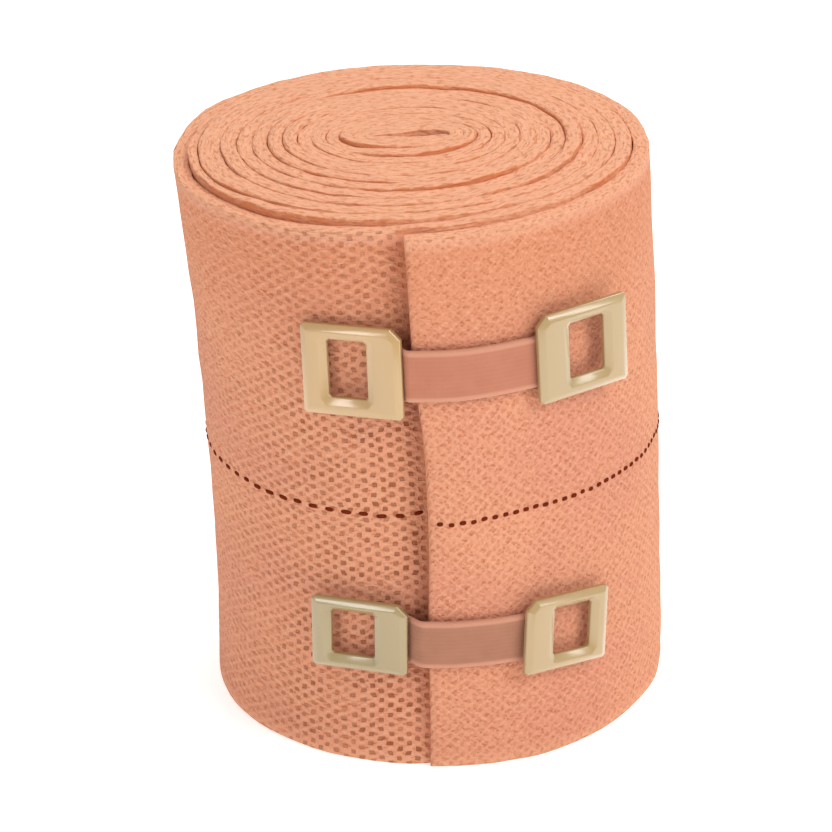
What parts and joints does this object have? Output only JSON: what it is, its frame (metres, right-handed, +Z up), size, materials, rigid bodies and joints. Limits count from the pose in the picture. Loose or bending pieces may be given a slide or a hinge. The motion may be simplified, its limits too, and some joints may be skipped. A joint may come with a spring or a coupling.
{
  "type": "crepe bandage roll",
  "caption": "Salmon elastic crepe bandage wound into an upright roll, its loose end held flat by two elastic clips with windowed metal plates.",
  "frame": {"origin": "middle of the wound end that the roll stands on", "axes": "+Z up along the roll to its other wound end, -Y towards the loose end and the clips, +X to the right seen from the front"},
  "size_m": [0.0679, 0.0688, 0.0813],
  "materials": {
    "crepe_cloth": "open crepe weave in salmon, matte, with a dashed dark red line round the middle of its width",
    "clip_enamel": "cream enamel, glossy",
    "clip_elastic": "woven elastic in dusty pink with paler edges, matte"
  },
  "bodies": {
    "root": {"bandage_roll": "crepe_cloth", "upper_clip_left_plate": "clip_enamel", "upper_clip_right_plate": "clip_enamel", "upper_clip_band": "clip_elastic", "lower_clip_left_plate": "clip_enamel", "lower_clip_right_plate": "clip_enamel", "lower_clip_band": "clip_elastic"}
  },
  "joints": []
}
